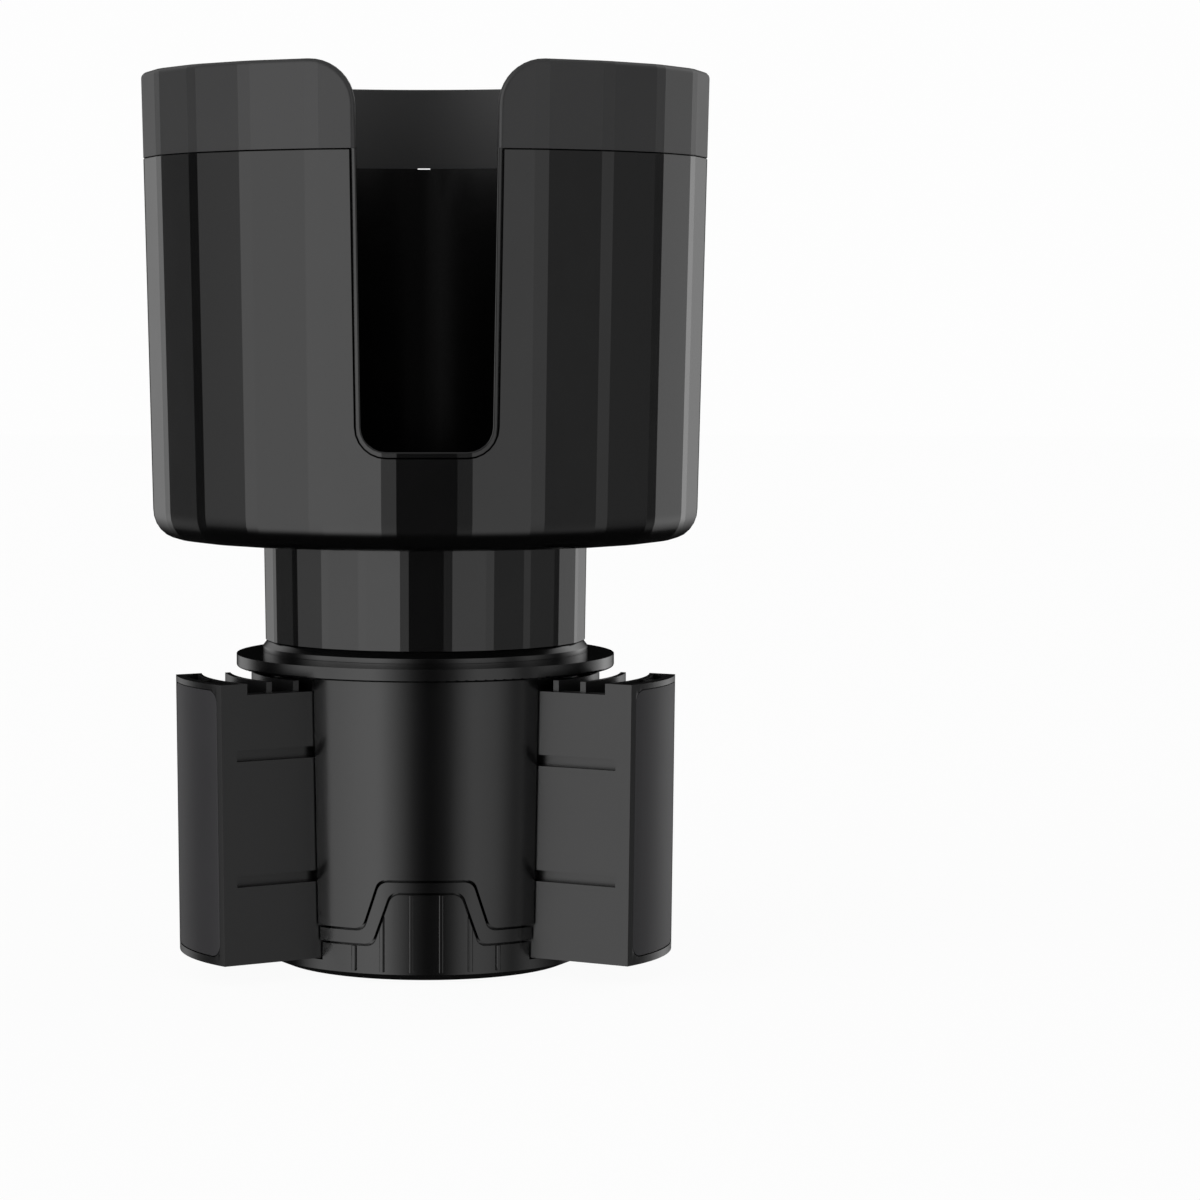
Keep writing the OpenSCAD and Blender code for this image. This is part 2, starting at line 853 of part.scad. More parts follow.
module drive_hub() {
    color(nylon) difference() {
        union() {
            disc(neck_bore_r - fit_gap, plate_z, plate_top_z);
            disc(hub_sleeve_r, plate_top_z - eps, plate_top_z + hub_sleeve_h);
            disc(hub_r, disc_z + disc_t + fit_gap, plate_z + eps);
            translate([-hub_square_w / 2, -hub_square_w / 2, disc_z + fit_gap]) {
                cube([hub_square_w, hub_square_w, disc_t + 2 * eps]);
            }
        }
        disc(screw_r + screw_gap, disc_z - eps, disc_z + screw_l);
        for (dir = panel_dirs) {
            rotate(dir) translate([neck_screw_r, 0, 0]) {
                disc(screw_r + head_gap, plate_z - eps, plate_top_z + eps);
                disc(screw_head_r + head_gap, plate_z - eps, plate_z + screw_head_h);
            }
        }
    }
}

// Middle of a cam slot, where angle turn has gone by since the wings were out
function cam_centre(turn) =
    let (r = pin_out_r - wing_travel * turn / cup_turn)
    [r * cos(turn), -r * sin(turn)];

function cam_side(turn, side) =
    let (along = cam_centre(turn + 0.5) - cam_centre(turn - 0.5))
    cam_centre(turn) + side * (pin_r + cam_gap) / norm(along) * [-along[1], along[0]];

module cam_slot() {
    step = 5;
    outer = [for (turn = [0:step:cup_turn]) cam_side(turn, 1)];
    inner = [for (turn = [0:step:cup_turn]) cam_side(turn, -1)];
    polygon(concat(outer, reversed(inner)));
    for (turn = [0, cup_turn]) {
        translate(cam_centre(turn)) circle(pin_r + cam_gap);
    }
}

module drive_disc() {
    hole = hub_square_w + 2 * fit_gap;
    color(nylon) translate([0, 0, disc_z]) linear_extrude(disc_t) {
        difference() {
            circle(disc_r);
            square(hole, center = true);
            for (dir = wing_dirs) {
                rotate(dir) cam_slot();
            }
        }
    }
}

module hub_screws() {
    color(steel) for (dir = panel_dirs) {
        rotate(dir) translate([neck_screw_r, 0, plate_z + screw_head_h]) screw();
    }
}

module lock_washer() {
    color(steel) disc(lock_washer_r, disc_z - lock_washer_t, disc_z, screw_r + head_gap);
}

module lock_screw() {
    color(steel) translate([0, 0, disc_z - lock_washer_t]) screw();
}

/* Wings */

// Cylinder of the wing's outer face, moved in by inset and leaning with the draft
module wing_face(lean, inset) {
    translate([wing_out_r - wing_face_r, lean, wing_top_z]) rotate([0, wing_draft, 0]) {
        translate([0, 0, -far]) cylinder(r = wing_face_r - inset, h = 2 * far);
    }
}

// Plan of a wing from its inner end to a face like the outer one, with its crown at distance r
module face_plan(r, lean, half) {
    intersection() {
        translate([r - wing_face_r, lean]) circle(wing_face_r);
        translate([0, -half]) square([far, 2 * half]);
    }
}

// Plan of a cross wall up to a given half width
module web_plan(r, lean, half) {
    difference() {
        face_plan(r, lean, half);
        face_plan(r - web_t, lean, half + over);
    }
}

// Hollow of a wing: between its side walls, and open to both sides above them
module wing_bays(lean) {
    webs = [web_1_r, web_2_r, web_3_r];
    translate([0, 0, wing_low_z + wing_skin]) linear_extrude(far) {
        difference() {
            face_plan(wing_block_r, lean, wing_half - wing_wall);
            translate([0, -far]) square([wing_in_r + wing_skin, 2 * far]);
            for (r = webs) {
                web_plan(r, lean, wing_half);
            }
        }
    }
    translate([0, 0, wing_top_z - wing_side_drop]) linear_extrude(far) {
        difference() {
            face_plan(wing_block_r, lean, wing_half + over);
            for (r = webs) {
                web_plan(r, lean, wing_half - web_set_back);
            }
        }
    }
}

// Pocket in the top of the outer block, with a rib across it
module top_pocket(lean) {
    translate([0, 0, wing_top_z - top_pocket_depth]) linear_extrude(far) {
        difference() {
            face_plan(wing_out_r - pad_t - top_pocket_rim, lean, wing_half - top_pocket_rim);
            face_plan(wing_block_r + top_pocket_rim, lean, wing_half);
            translate([0, -top_rib_t / 2]) square([far, top_rib_t]);
        }
    }
}

module wing_grooves() {
    for (side = [-1, 1]) {
        high_z = side > 0 ? groove_left_z : groove_right_z;
        y = side > 0 ? wing_half - groove_depth : -wing_half - over;
        for (z = [groove_low_z, high_z]) {
            translate([0, y, z]) cube([groove_end_r, groove_depth + over, groove_h]);
        }
    }
}

// Opening in the outer face for the pad, or the pad's own outline with a gap
module pad_block(gap) {
    low_z = wing_low_z + pad_low_margin + gap;
    h = wing_top_z - pad_top_margin - gap - low_z;
    w = 2 * (wing_half - pad_side_margin - gap);
    translate([wing_in_r, 0, low_z]) rotate([90, 0, 90]) linear_extrude(far) {
        rounded_rect(w, h, pad_corner_r);
    }
}

module wing(dir, lean) {
    pin_foot_z = disc_z + disc_t - pin_l;
    color(black) rotate(dir) difference() {
        union() {
            difference() {
                intersection() {
                    translate([wing_in_r, -wing_half, wing_low_z]) {
                        cube([far, 2 * wing_half, wing_top_z - wing_low_z]);
                    }
                    wing_face(lean, 0);
                }
                wing_bays(lean);
            }
            translate([pin_out_r, 0, 0]) disc(pin_boss_r, wing_low_z, wing_top_z);
        }
        wing_grooves();
        translate([pin_out_r, 0, 0]) disc(pin_r + screw_gap, pin_foot_z, wing_top_z + eps);
        difference() {
            pad_block(0);
            wing_face(lean, pad_t);
        }
        top_pocket(lean);
    }
}

module pad(dir, lean) {
    color(rubber_black) rotate(dir) difference() {
        intersection() {
            pad_block(pad_gap);
            wing_face(lean, seat_gap);
        }
        wing_face(lean, pad_t - seat_gap);
    }
}

module cam_pin(dir) {
    top_z = disc_z + disc_t;
    color(steel) rotate(dir) translate([pin_out_r, 0, 0]) disc(pin_r, top_z - pin_l, top_z);
}

base_shell();
collar_cap();
bottom_cap();
foot_pad();
base_screws();
glide_washer();
wave_trim(front_dir);  // wave_trim_front
wave_trim(right_dir + 180);  // wave_trim_left
wave_trim(left_dir + 180);  // wave_trim_right
cup_body();
rim_ring();
floor_mat();
drive_hub();
drive_disc();
hub_screws();
lock_washer();
lock_screw();
wing(left_dir, wing_face_lean);  // wing_left
wing(right_dir, -wing_face_lean);  // wing_right
wing(back_dir, 0);  // wing_back
pad(left_dir, wing_face_lean);  // pad_left
pad(right_dir, -wing_face_lean);  // pad_right
pad(back_dir, 0);  // pad_back
cam_pin(left_dir);  // cam_pin_left
cam_pin(right_dir);  // cam_pin_right
cam_pin(back_dir);  // cam_pin_back
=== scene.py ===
from math import atan2, cos, degrees, hypot, pi, radians, sin, tan

import bmesh
import bpy
from mathutils import Matrix, Vector


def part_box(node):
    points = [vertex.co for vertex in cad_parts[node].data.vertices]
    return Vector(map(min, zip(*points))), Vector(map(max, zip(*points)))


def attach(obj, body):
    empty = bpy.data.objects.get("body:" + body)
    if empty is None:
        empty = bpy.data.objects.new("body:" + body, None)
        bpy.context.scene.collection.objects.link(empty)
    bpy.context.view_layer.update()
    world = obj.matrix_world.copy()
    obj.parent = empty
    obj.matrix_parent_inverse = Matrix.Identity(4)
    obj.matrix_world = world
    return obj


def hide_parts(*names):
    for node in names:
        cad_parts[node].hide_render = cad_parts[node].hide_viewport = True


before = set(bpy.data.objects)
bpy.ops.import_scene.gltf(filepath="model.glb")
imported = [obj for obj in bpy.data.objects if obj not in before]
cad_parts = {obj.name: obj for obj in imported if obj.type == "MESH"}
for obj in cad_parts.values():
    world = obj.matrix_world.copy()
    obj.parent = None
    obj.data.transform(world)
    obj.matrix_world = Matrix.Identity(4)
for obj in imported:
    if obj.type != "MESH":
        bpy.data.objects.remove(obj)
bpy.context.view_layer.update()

MM = 0.001
scene = bpy.context.scene

# Sizes of the object in millimetres and degrees, from the model's boxes or as its source has them
FACETS = 24
FLAT_HALF = 6.0
SEAM_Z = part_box("rim_ring")[0][2] / MM
RIM_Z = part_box("rim_ring")[1][2] / MM
RIM_FLAT_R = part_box("rim_ring")[1][0] / MM
CUP_NARROWING = 2.0
CUP_H = 80.6
CUP_LEAN = CUP_NARROWING / CUP_H
SEAM_FLAT_R = RIM_FLAT_R - CUP_LEAN * (RIM_Z - SEAM_Z)
MAT_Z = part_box("floor_mat")[0][2] / MM
MAT_TOP_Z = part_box("floor_mat")[1][2] / MM
MAT_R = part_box("floor_mat")[1][0] / MM

# Slot in the cup: the sunk strip along its edge, rounded over, and its lower end
SLOT_SEAM_HALF = 12.3
SLOT_SLANT = 0.0158
LIP_W = 1.6
LIP_DEPTH = 0.6
LIP_SLACK = 0.25
LIP_ROUND = 0.9
LIP_GROOVE = 0.5
LIP_GROOVE_HALF = 0.28
LIP_ZONE = (-0.1, 1.3)
LIP_LOW_Z = MAT_TOP_Z + 8
LIP_HIGH_Z = SEAM_Z - 0.3
LIP_LEAST_R = 46
SILL_RISE = 0.95
SILL_TOP_Z = MAT_TOP_Z + 16

# Soft band on the cup
BAND_T = 3.1
BAND_INNER_R = RIM_FLAT_R - BAND_T
BAND_SPLIT_R = BAND_INNER_R + BAND_T / 2
BAND_CRISP_R = 50
BAND_ROUND = 1.05
BAND_INNER_ROUND = 0.5
BAND_LOW_Z = SEAM_Z + 0.6
BORE_SIDES = 120
SEAM_V = 0.25
CORNER_R = 8.2
CORNER_STEPS = 10
NOTCH_HALF = 1.25
NOTCH_H = 0.3
NOTCH_REACH = 20
CUT_PAST = 3
CUT_START = 20
CUT_LENGTH = 60

# Tabs in the band
TAB_TURNS = (45, 135, 225, 315)
TAB_T = 1.5
TAB_REACH = 14.0
TAB_ROOT = 1.5
TAB_SLOPE = 32.0
TAB_BOW = 1.2
TAB_ROOT_HALF = 12.3
TAB_TIP_HALF = 5.0
TAB_TIP_ROUND = 1.2
TAB_EDGE_ROUND = 0.45
TOUCH = 0.01
TAB_Z = RIM_Z - 6.5

# Mat on the cup's floor
MAT_T = 1.8
MAT_EDGE_W = 1.8
MAT_ROUND = 0.45
DOT_R = 1.1
DOT_H = 0.55
DOT_SUNK = 0.02
DOT_PITCH = 5.2

# Low on the base: the ribs' corners, which lie between two radii, and the rounding of all other edges
RIB_R = 31.1
RIB_OUTER_R = 32
RIB_LEAST_LENGTH = 3
RIB_ROUND = 0.24
FINE_ROUND = 0.05

# Folds in degrees: which edges are rounded, and which stay sharp to the light
MERGED_FOLD = 0.4
ROUNDED_FOLD = 28
BAND_FOLD = 40
CORNER_FOLD = 60
RIB_FOLD = 80
FACET_FOLDS = (2, 20)
SHARP_FOLD = 50
SHARP_HOLLOW_FOLD = 25
ROUND_WALL_SLACK = 3

# Camera at the photograph's viewing angle: its picture in pixels, its place in metres, its tilt in degrees
PHOTO_PX = 1200
FOCAL_PX = 3855.3
AXIS_PX = 425.3
CENTRE_PX = 476.15
SENSOR_MM = 36
CAMERA_BACK = 0.72105
CAMERA_Z = 0.12201
CAMERA_TILT = 2.5
CAMERA_TURN = radians(0.3)


def place_camera():
    data = bpy.data.cameras.new("camera")
    data.lens = FOCAL_PX / PHOTO_PX * SENSOR_MM
    data.sensor_width = SENSOR_MM
    data.shift_x = (PHOTO_PX / 2 - AXIS_PX) / PHOTO_PX
    data.shift_y = -(PHOTO_PX / 2 - CENTRE_PX) / PHOTO_PX
    data.clip_start = 0.05
    data.clip_end = 20
    camera = bpy.data.objects.new("camera", data)
    camera.location = (-CAMERA_BACK * sin(CAMERA_TURN), -CAMERA_BACK * cos(CAMERA_TURN), CAMERA_Z)
    camera.rotation_euler = (radians(90 - CAMERA_TILT), 0, -CAMERA_TURN)
    scene.collection.objects.link(camera)
    scene.camera = camera


place_camera()


# Shader maths in Python's own signs

class Wire:
    """A value on its way through a node tree."""

    def __init__(self, tree, socket):
        self.tree = tree
        self.socket = socket

    def maths(self, operation, *others):
        node = self.tree.nodes.new("ShaderNodeMath")
        node.operation = operation
        for slot, value in zip(node.inputs, (self,) + others):
            feed(self.tree, slot, value)
        return Wire(self.tree, node.outputs[0])

    def __add__(self, other):
        return self.maths("ADD", other)

    __radd__ = __add__

    def __mul__(self, other):
        return self.maths("MULTIPLY", other)

    def __sub__(self, other):
        return self.maths("SUBTRACT", other)

    def __truediv__(self, other):
        return self.maths("DIVIDE", other)


def feed(tree, slot, value):
    if isinstance(value, Wire):
        tree.links.new(value.socket, slot)
    else:
        slot.default_value = value


class Bench:
    """Adds nodes to one tree, by type, settings and what goes into their sockets.

    A socket is given by its name, or as i0, i1 and so on by its place.
    """

    def __init__(self, tree):
        self.tree = tree

    def add(self, kind, settings=None, out=0, **sockets):
        node = self.tree.nodes.new(kind)
        for name, value in (settings or {}).items():
            setattr(node, name, value)
        for name, value in sockets.items():
            slot = node.inputs[int(name[1:])] if name[0] == "i" and name[1:].isdigit() else node.inputs[name]
            feed(self.tree, slot, value)
        return Wire(self.tree, node.outputs[out])

    def blend(self, share, one, other):
        """Colour one where share is 0 and other where it is 1."""
        return self.add("ShaderNodeMix", {"data_type": "RGBA"}, out=2, i0=share, i6=one, i7=other)

    def noise(self, where, size_mm, detail=2.0, rough=0.5):
        return self.add("ShaderNodeTexNoise", Vector=where, Scale=1 / (size_mm * MM),
                        Detail=detail, Roughness=rough)

    def ramp(self, value, *stops):
        """Grey levels at places from 0 to 1 along a value."""
        node = self.tree.nodes.new("ShaderNodeValToRGB")
        elements = node.color_ramp.elements
        while len(elements) < len(stops):
            elements.new(0.5)
        for element, (place, level) in zip(elements, stops):
            element.position = place
            element.color = (level, level, level, 1)
        feed(self.tree, node.inputs[0], value)
        return Wire(self.tree, node.outputs[0])

    def bump(self, height, depth_mm):
        return self.add("ShaderNodeBump", Height=height, Distance=depth_mm * MM, Strength=1.0)


# Finishes

PLASTIC_IOR = 1.5


def new_finish(name):
    """A material with a Principled shader, its bench and the object's own coordinates."""
    material = bpy.data.materials.new(name)
    material.use_nodes = True
    tree = material.node_tree
    shader = tree.nodes["Principled BSDF"]
    bench = Bench(tree)
    where = bench.add("ShaderNodeTexCoord", out=3)
    return material, shader, bench, where


def moulded_plastic(name, colour, lift, rough, grain_mm, grain_depth):
    """Black moulded plastic: spark-eroded grain, faint flow clouds and a few dull patches from handling."""
    material, shader, bench, where = new_finish(name)
    clouds = bench.noise(where, size_mm=24, detail=3)
    dull = bench.noise(where, size_mm=7, detail=4, rough=0.6)
    grain = bench.noise(where, grain_mm, detail=3, rough=0.6)
    tone = bench.blend(clouds, colour + (1,), tuple(c * lift for c in colour) + (1,))
    feed(bench.tree, shader.inputs["Base Color"], tone)
    feed(bench.tree, shader.inputs["Roughness"], rough - 0.02 + dull * 0.05 + grain * 0.03)
    feed(bench.tree, shader.inputs["Normal"], bench.bump(grain, grain_depth))
    shader.inputs["IOR"].default_value = PLASTIC_IOR
    return material


def soft_rubber(name, colour, lift, rough, grain_mm, grain_depth):
    """Soft rubber: fine even stipple, a dusty bloom in clouds and small specks."""
    material, shader, bench, where = new_finish(name)
    bloom = bench.noise(where, size_mm=15, detail=4, rough=0.55)
    grain = bench.noise(where, grain_mm)
    specks = bench.add("ShaderNodeTexVoronoi", Vector=where, Scale=1 / (1.4 * MM))
    fleck = bench.ramp(specks, (0.0, 1.0), (0.09, 0.0))
    tone = bench.blend(bloom, colour + (1,), tuple(c * lift for c in colour) + (1,))
    tone = bench.blend(fleck * 0.12, tone, tuple(min(1, c * 2.2) for c in colour) + (1,))
    feed(bench.tree, shader.inputs["Base Color"], tone)
    feed(bench.tree, shader.inputs["Roughness"], rough + bloom * 0.06)
    feed(bench.tree, shader.inputs["Normal"], bench.bump(grain, grain_depth))
    return material


def turned_steel(name):
    """Zinc-plated steel with fine turning lines round the axis."""
    material, shader, bench, where = new_finish(name)
    lines = bench.add("ShaderNodeTexWave", {"wave_type": "RINGS", "rings_direction": "Z"},
                      Vector=where, Scale=1 / (1.2 * MM), Distortion=0.6, Detail=2.0)
    tarnish = bench.noise(where, size_mm=2.5, detail=3)
    feed(bench.tree, shader.inputs["Base Color"],
         bench.blend(tarnish, (0.5, 0.51, 0.53, 1), (0.62, 0.62, 0.6, 1)))
    feed(bench.tree, shader.inputs["Roughness"], 0.25 + tarnish * 0.15)
    feed(bench.tree, shader.inputs["Normal"], bench.bump(lines, 0.004))
    shader.inputs["Metallic"].default_value = 1.0
    return material


def natural_nylon(name):
    """Uncoloured slippery plastic of the drive, with a trace of dark rub marks."""
    material, shader, bench, where = new_finish(name)
    clouds = bench.noise(where, size_mm=9, detail=3)
    grain = bench.noise(where, size_mm=0.3)
    rubs = bench.ramp(bench.noise(where, size_mm=1.5, detail=5, rough=0.7), (0.55, 0.0), (0.75, 1.0))
    tone = bench.blend(clouds, (0.62, 0.6, 0.54, 1), (0.7, 0.68, 0.62, 1))
    tone = bench.blend(rubs * 0.18, tone, (0.25, 0.24, 0.22, 1))
    feed(bench.tree, shader.inputs["Base Color"], tone)
    feed(bench.tree, shader.inputs["Roughness"], 0.4 + clouds * 0.12)
    feed(bench.tree, shader.inputs["Normal"], bench.bump(grain, 0.01))
    return material


CUP_BLACK = moulded_plastic("cup_black", (0.0016, 0.0016, 0.0017), 1.5, 0.17, 0.22, 0.0035)
BASE_BLACK = moulded_plastic("base_black", (0.0022, 0.0022, 0.0023), 1.5, 0.16, 0.2, 0.003)
WING_BLACK = moulded_plastic("wing_black", (0.0035, 0.0035, 0.0037), 1.5, 0.3, 0.2, 0.006)
BAND_GREY = soft_rubber("band_grey", (0.021, 0.021, 0.0215), 1.3, 0.42, 0.25, 0.006)
PAD_RUBBER = soft_rubber("pad_rubber", (0.0165, 0.0158, 0.018), 1.3, 0.5, 0.25, 0.008)
MAT_RUBBER = soft_rubber("mat_rubber", (0.012, 0.012, 0.0125), 1.4, 0.5, 0.3, 0.01)
FOOT_RUBBER = soft_rubber("foot_rubber", (0.016, 0.016, 0.016), 1.4, 0.55, 0.35, 0.012)
STEEL = turned_steel("steel")
NYLON = natural_nylon("nylon")


# Dressed copies of the model's nodes: edges rounded, flats kept crisp

CORNER_SLACK = 0.25
ONE_DIRECTION = 0.9999
NEARLY_LEVEL = 0.05
LEAST_REACH = 3 * MM
FLAT_WEIGHT = 80


def corner_angle(point):
    """How far a point's direction is from the nearest corner of a facet, in degrees."""
    turn = (degrees(atan2(point.y, point.x)) + 90) % (360 / FACETS)
    return min(abs(turn - FLAT_HALF), abs(turn - (360 / FACETS - FLAT_HALF)))


def is_facet_line(edge, least_r):
    """Whether an edge beyond least_r runs up or down along the corner between two facets."""
    one, other = (v.co / MM for v in edge.verts)
    on_corner = corner_angle(one) < CORNER_SLACK and corner_angle(other) < CORNER_SLACK
    reaches = hypot(one.x, one.y) * hypot(other.x, other.y)
    upright = one.x * other.x + one.y * other.y > ONE_DIRECTION * reaches
    return on_corner and upright and min(hypot(one.x, one.y), hypot(other.x, other.y)) > least_r


def even_normals(piece, round_r):
    """Flat faces stay flat, and round walls nearer the axis than round_r follow their radius."""
    even = piece.modifiers.new("even_normals", "WEIGHTED_NORMAL")
    even.keep_sharp = True
    even.weight = FLAT_WEIGHT
    graph = bpy.context.evaluated_depsgraph_get()
    shown = piece.evaluated_get(graph)
    mesh = shown.to_mesh()
    normals = [Vector(corner.vector) for corner in mesh.corner_normals]
    shown.to_mesh_clear()
    piece.modifiers.remove(even)
    mesh = piece.data
    for face in mesh.polygons:
        centre, facing = face.center, face.normal
        level = hypot(facing.x, facing.y)
        reach = hypot(centre.x, centre.y)
        if level < NEARLY_LEVEL or reach < LEAST_REACH or reach / MM > round_r:
            continue
        along = (facing.x * centre.x + facing.y * centre.y) / level / reach
        if abs(along) < cos(radians(ROUND_WALL_SLACK)):
            continue
        side = 1 if along > 0 else -1
        for loop in face.loop_indices:
            place = mesh.vertices[mesh.loops[loop].vertex_index].co
            far = hypot(place.x, place.y)
            rise = facing.z if abs(facing.z) < NEARLY_LEVEL else normals[loop].z
            flat = (max(0, 1 - rise * rise)) ** 0.5 * side
            normals[loop] = Vector((place.x / far * flat, place.y / far * flat, rise))
    mesh.normals_split_custom_set(normals)


def finished(name, mesh, material, body, node, round_r=0):
    """Puts a finished mesh on its body in place of the node that it dresses."""
    piece = bpy.data.objects.new(name, mesh)
    scene.collection.objects.link(piece)
    mesh.materials.clear()
    mesh.materials.append(material)
    even_normals(piece, round_r)
    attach(piece, body)
    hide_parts(node)


def tidy_copy(source):
    """Mesh work space with a node's triangles joined into its real faces."""
    bm = bmesh.new()
    bm.from_mesh(source)
    bmesh.ops.remove_doubles(bm, verts=bm.verts, dist=0.002 * MM)
    bmesh.ops.dissolve_limit(bm, angle_limit=radians(MERGED_FOLD), verts=bm.verts, edges=bm.edges)
    bm.normal_update()
    return bm


def fold(edge):
    """Angle between the two faces of an edge, in degrees."""
    return degrees(edge.calc_face_angle(0)) if edge.is_manifold else 0


def middle(edge):
    """Middle of an edge, in millimetres."""
    return (edge.verts[0].co + edge.verts[1].co) / 2 / MM


def lip_depth(spot):
    """How far a point near the slot's edge lies behind the flats of the cup, otherwise None."""
    if spot.y > 0 or abs(spot.x) > SLOT_SEAM_HALF + LIP_W or not LIP_LOW_Z < spot.z < LIP_HIGH_Z:
        return None
    turn = atan2(spot.x, -spot.y)
    nearest = round(turn / (2 * pi / FACETS)) * 2 * pi / FACETS
    across = hypot(spot.x, spot.y) * cos(turn - nearest)
    return RIM_FLAT_R - CUP_LEAN * (RIM_Z - spot.z) - across


def on_lip(edge, low, high):
    """Whether an edge near the slot lies behind the flats by a depth between low and high."""
    depth = lip_depth(middle(edge))
    return depth is not None and low < depth < high


def cut_lip(bm):
    """Rounds the strip around the slot, cuts a groove along its outer side and lifts the slot's lower end."""
    low, high = LIP_DEPTH - LIP_SLACK, LIP_DEPTH + LIP_SLACK
    sunk = [e for e in bm.edges if fold(e) > CORNER_FOLD and on_lip(e, low, high)]
    groove = [e for e in sunk if not e.is_convex]
    round_edges(bm, [e for e in sunk if e.is_convex], LIP_ROUND, 4)
    out = bmesh.ops.bevel(bm, geom=groove, affect="EDGES", offset=LIP_GROOVE_HALF * MM, segments=2,
                          profile=0.5, material=-1, clamp_overlap=True)
    fresh = set(out["faces"])
    for vert in out["verts"]:
        if vert.is_valid and all(face in fresh for face in vert.link_faces):
            reach = hypot(vert.co.x, vert.co.y)
            vert.co.x *= 1 - LIP_GROOVE * MM / reach
            vert.co.y *= 1 - LIP_GROOVE * MM / reach
    for vert in bm.verts:
        spot = vert.co / MM
        if spot.z < SILL_TOP_Z and lip_depth(spot) is not None and hypot(spot.x, spot.y) > LIP_LEAST_R:
            vert.co.z += SILL_RISE * MM
    bm.normal_update()


def round_edges(bm, edges, size_mm, steps=2):
    bmesh.ops.bevel(bm, geom=edges, affect="EDGES", offset=size_mm * MM, segments=steps,
                    profile=0.5, material=-1, clamp_overlap=True, loop_slide=True)


def is_rib_corner(edge):
    """Whether an edge is a long outer corner of a rib of the bottom cap."""
    spot = middle(edge)
    long_corner = edge.is_convex and fold(edge) > RIB_FOLD and edge.calc_length() > RIB_LEAST_LENGTH * MM
    return long_corner and RIB_R < hypot(spot.x, spot.y) < RIB_OUTER_R


def shade(bm, crisp_r=None):
    """Smooth shading, except along the lines of the facets and where an edge was left sharp."""
    bm.normal_update()
    for face in bm.faces:
        face.smooth = True
    slight, most = FACET_FOLDS
    for edge in bm.edges:
        bend = fold(edge)
        facet_line = crisp_r is not None and slight < bend < most and is_facet_line(edge, crisp_r)
        hollow = bend > SHARP_HOLLOW_FOLD and not edge.is_convex
        edge.smooth = not (facet_line or bend > SHARP_FOLD or hollow)


def as_mesh(bm, name):
    mesh = bpy.data.meshes.new(name)
    bm.to_mesh(mesh)
    bm.free()
    return mesh


def dressed(node, body, material, round_mm, crisp_r=None, round_r=0, fine_z=0, lip=False):
    """A copy of a node with its outer edges rounded.

    Its facets stay crisp beyond crisp_r, walls within round_r are shaded as round, and below fine_z the ribs
    and the fine edges have roundings of their own. With lip, the edge of the slot is worked on too.
    """
    bm = tidy_copy(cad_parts[node].data)
    if lip:
        cut_lip(bm)
    ribs = [e for e in bm.edges if fine_z and is_rib_corner(e)]
    if ribs:
        round_edges(bm, ribs, RIB_ROUND, 3)
        bm.normal_update()
    outer = [e for e in bm.edges if fold(e) > ROUNDED_FOLD and e.is_convex]
    sharp = [e for e in outer if not (lip and on_lip(e, *LIP_ZONE))]
    fine = [e for e in sharp if middle(e).z < fine_z]
    round_edges(bm, [e for e in sharp if middle(e).z >= fine_z], round_mm)
    if fine:
        round_edges(bm, [e for e in fine if e.is_valid], FINE_ROUND, 1)
    shade(bm, crisp_r)
    finished(node + "_dressed", as_mesh(bm, node + "_dressed"), material, body, node, round_r)


# Soft band: a faceted ring with one rounding along its rim, its corners and the slot

def faceted_block(low_r, high_r, low_z, high_z):
    """Closed block with the cup's facets, in millimetres, between two heights."""
    half = pi / FACETS
    bm = bmesh.new()
    place = Matrix.Translation((0, 0, low_z)) @ Matrix.Rotation(half, 4, "Z")
    bmesh.ops.create_circle(bm, cap_ends=True, segments=FACETS, radius=low_r / cos(half), matrix=place)
    strip = low_r * (tan(half) - tan(radians(FLAT_HALF)))
    bmesh.ops.bevel(bm, geom=list(bm.verts), affect="VERTICES", offset=strip, segments=1,
                    profile=0.5, material=-1)
    out = bmesh.ops.extrude_face_region(bm, geom=list(bm.faces), use_keep_orig=True)
    top = [g for g in out["geom"] if isinstance(g, bmesh.types.BMVert)]
    bmesh.ops.translate(bm, verts=top, vec=(0, 0, high_z - low_z))
    bmesh.ops.scale(bm, verts=top, vec=(high_r / low_r, high_r / low_r, 1))
    bmesh.ops.recalc_face_normals(bm, faces=bm.faces)
    return bm


def slot_half(z):
    """Half the width of the slot at a height."""
    return SLOT_SEAM_HALF + SLOT_SLANT * (z - SEAM_Z)


def slot_block():
    """Cutter for the slot in the band, with its two upper corners rounded outwards."""
    low_z = SEAM_Z - CUT_PAST
    corner_z = RIM_Z - CORNER_R
    centre_x = slot_half(corner_z) + CORNER_R
    arc = [(centre_x - CORNER_R * cos(a), corner_z + CORNER_R * sin(a))
           for a in (radians(90 / CORNER_STEPS * i) for i in range(CORNER_STEPS + 1))]
    right = [(slot_half(low_z), low_z)] + arc + [(centre_x, RIM_Z + CUT_PAST)]
    outline = right + [(-x, z) for x, z in reversed(right)]
    bm = bmesh.new()
    face = bm.faces.new([bm.verts.new((x, -CUT_START, z)) for x, z in outline])
    out = bmesh.ops.extrude_face_region(bm, geom=[face], use_keep_orig=True)
    far = [g for g in out["geom"] if isinstance(g, bmesh.types.BMVert)]
    bmesh.ops.translate(bm, verts=far, vec=(0, -CUT_LENGTH, 0))
    bmesh.ops.recalc_face_normals(bm, faces=bm.faces)
    return bm


def bore_block():
    """Cutter for the round bore of the band."""
    bm = bmesh.new()
    tall = RIM_Z - SEAM_Z + 2 * CUT_PAST
    place = Matrix.Translation((0, 0, (RIM_Z + SEAM_Z) / 2))
    bmesh.ops.create_cone(bm, cap_ends=True, segments=BORE_SIDES, radius1=BAND_INNER_R,
                          radius2=BAND_INNER_R, depth=tall, matrix=place)
    return bm


